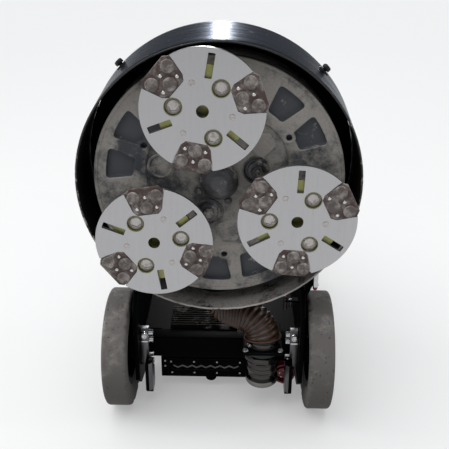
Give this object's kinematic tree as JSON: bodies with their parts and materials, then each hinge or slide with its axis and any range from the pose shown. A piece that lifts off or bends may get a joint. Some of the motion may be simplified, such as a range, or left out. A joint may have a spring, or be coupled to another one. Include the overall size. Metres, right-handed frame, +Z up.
{
  "type": "concrete grinder",
  "caption": "Planetary floor grinder tipped back on two wheels, showing its shroud, turning carrier and grinding plates, with a folding handlebar.",
  "frame": {"origin": "centre of the bounding box at floor level", "axes": "+Z up with the machine tipped back on its wheels, +X to the right seen from the plates, -Y out of the grinding plates along the head axis"},
  "size_m": [0.569, 1.147, 0.8455],
  "materials": {
    "black_paint": "satin black powder coat, dusty",
    "dusty_pad": "worn, covered in concrete dust",
    "bright_steel": "ground smooth",
    "machined_steel": "machined",
    "yellow_zinc": "yellow zinc plated",
    "dark_steel": "dark, brushed round",
    "cast_metal": "as cast, dusty",
    "dusty_heat_sink": "dusty",
    "belt_rubber": "matt",
    "grip_rubber": "matt",
    "hose_plastic": "translucent, spiral ribs",
    "grey_rubber": "worn and pitted",
    "red_plastic": "moulded",
    "green_plastic": "moulded",
    "knob_plastic": "moulded",
    "motor_paint": "grey paint"
  },
  "bodies": {
    "chassis": {"cabinet_body": "black_paint", "carrier_bearing": "machined_steel", "clamp_plate_left": "bright_steel", "clamp_plate_right": "bright_steel", "cross_beam": "black_paint", "drive_housing": "cast_metal", "dust_hose": "hose_plastic", "dust_port": "black_paint", "handle_frame": "black_paint", "head_deck": "black_paint", "head_mount_left": "black_paint", "head_mount_right": "black_paint", "heat_sink": "dusty_heat_sink", "hose_adapter": "dark_steel", "hose_flange": "black_paint", "motor_body": "motor_paint", "motor_fan_cover": "motor_paint", "power_inlet": "red_plastic", "ring_gear": "machined_steel", "shroud_band": "dark_steel", "side_plate_left": "black_paint", "side_plate_right": "black_paint", "stop_bar_left": "bright_steel", "stop_bar_right": "bright_steel", "stub_axle_left": "bright_steel", "stub_axle_right": "bright_steel", "terminal_box": "motor_paint"},
    "carrier": {"carrier_disc": "cast_metal", "carrier_hub_cap": "dark_steel", "drive_belt_1": "belt_rubber", "drive_belt_2": "belt_rubber", "drive_belt_3": "belt_rubber"},
    "rotor": {"motor_rotor": "machined_steel"},
    "head_1": {"spindle_holder_1": "yellow_zinc", "grinding_plate_1": "bright_steel", "diamond_pad_1_1": "dusty_pad", "diamond_pad_1_2": "dusty_pad", "diamond_pad_1_3": "dusty_pad"},
    "head_2": {"spindle_holder_2": "yellow_zinc", "grinding_plate_2": "bright_steel", "diamond_pad_2_1": "dusty_pad", "diamond_pad_2_2": "dusty_pad", "diamond_pad_2_3": "dusty_pad"},
    "head_3": {"spindle_holder_3": "yellow_zinc", "grinding_plate_3": "bright_steel", "diamond_pad_3_1": "dusty_pad", "diamond_pad_3_2": "dusty_pad", "diamond_pad_3_3": "dusty_pad"},
    "wheel_left": {"wheel_rim_left": "black_paint", "wheel_tyre_left": "grey_rubber"},
    "wheel_right": {"wheel_rim_right": "black_paint", "wheel_tyre_right": "grey_rubber"},
    "handle": {"handlebar": "black_paint", "grip_left": "grip_rubber", "grip_right": "grip_rubber", "control_box": "black_paint"},
    "stop_button": {"emergency_stop": "red_plastic"},
    "start_button": {"start_button": "green_plastic"},
    "speed_knob": {"speed_knob": "knob_plastic"},
    "lid": {"cabinet_lid": "black_paint"}
  },
  "joints": [
    {"name": "carrier_spin", "type": "hinge", "parent": "chassis", "child": "carrier", "pos_m": [0, -0.4905, 0.561], "axis": [0, 1, 0], "continuous": true},
    {"name": "rotor_spin", "type": "hinge", "parent": "chassis", "child": "rotor", "pos_m": [0, -0.2215, 0.561], "axis": [0, 1, 0], "continuous": true},
    {"name": "head_1_spin", "type": "hinge", "parent": "carrier", "child": "head_1", "pos_m": [-0.0279, -0.5215, 0.72088], "axis": [0, 1, 0], "continuous": true},
    {"name": "head_2_spin", "type": "hinge", "parent": "carrier", "child": "head_2", "pos_m": [0.15241, -0.5215, 0.50522], "axis": [0, 1, 0], "continuous": true},
    {"name": "head_3_spin", "type": "hinge", "parent": "carrier", "child": "head_3", "pos_m": [-0.12451, -0.5215, 0.45689], "axis": [0, 1, 0], "continuous": true},
    {"name": "wheel_left_spin", "type": "hinge", "parent": "chassis", "child": "wheel_left", "pos_m": [0, -0.4405, 0.133], "axis": [1, 0, 0], "continuous": true},
    {"name": "wheel_right_spin", "type": "hinge", "parent": "chassis", "child": "wheel_right", "pos_m": [0, -0.4405, 0.133], "axis": [1, 0, 0], "continuous": true},
    {"name": "handle_fold", "type": "hinge", "parent": "chassis", "child": "handle", "pos_m": [0, -0.0215, 0.062], "axis": [1, 0, 0], "range_deg": [0, 60]},
    {"name": "lid_hinge", "type": "hinge", "parent": "chassis", "child": "lid", "pos_m": [0, 0.0005, 0.147], "axis": [1, 0, 0], "range_deg": [0, 100]},
    {"name": "emergency_stop_press", "type": "slide", "parent": "handle", "child": "stop_button", "axis": [0, -1, 0], "range_m": [0, 0.005], "stiffness_N_per_m": 800, "springref_m": -0.003},
    {"name": "start_press", "type": "slide", "parent": "handle", "child": "start_button", "axis": [0, -1, 0], "range_m": [0, 0.004], "stiffness_N_per_m": 600, "springref_m": -0.003},
    {"name": "speed_turn", "type": "hinge", "parent": "handle", "child": "speed_knob", "pos_m": [-0.05, 0.5535, 0.062], "axis": [0, 1, 0], "range_deg": [-135, 135]}
  ],
  "couplings": [
    {"joint": "rotor_spin", "follows": "carrier_spin", "ratio": -9.115},
    {"joint": "head_1_spin", "follows": "carrier_spin", "ratio": -5.0575},
    {"joint": "head_2_spin", "follows": "carrier_spin", "ratio": -5.0575},
    {"joint": "head_3_spin", "follows": "carrier_spin", "ratio": -5.0575}
  ]
}
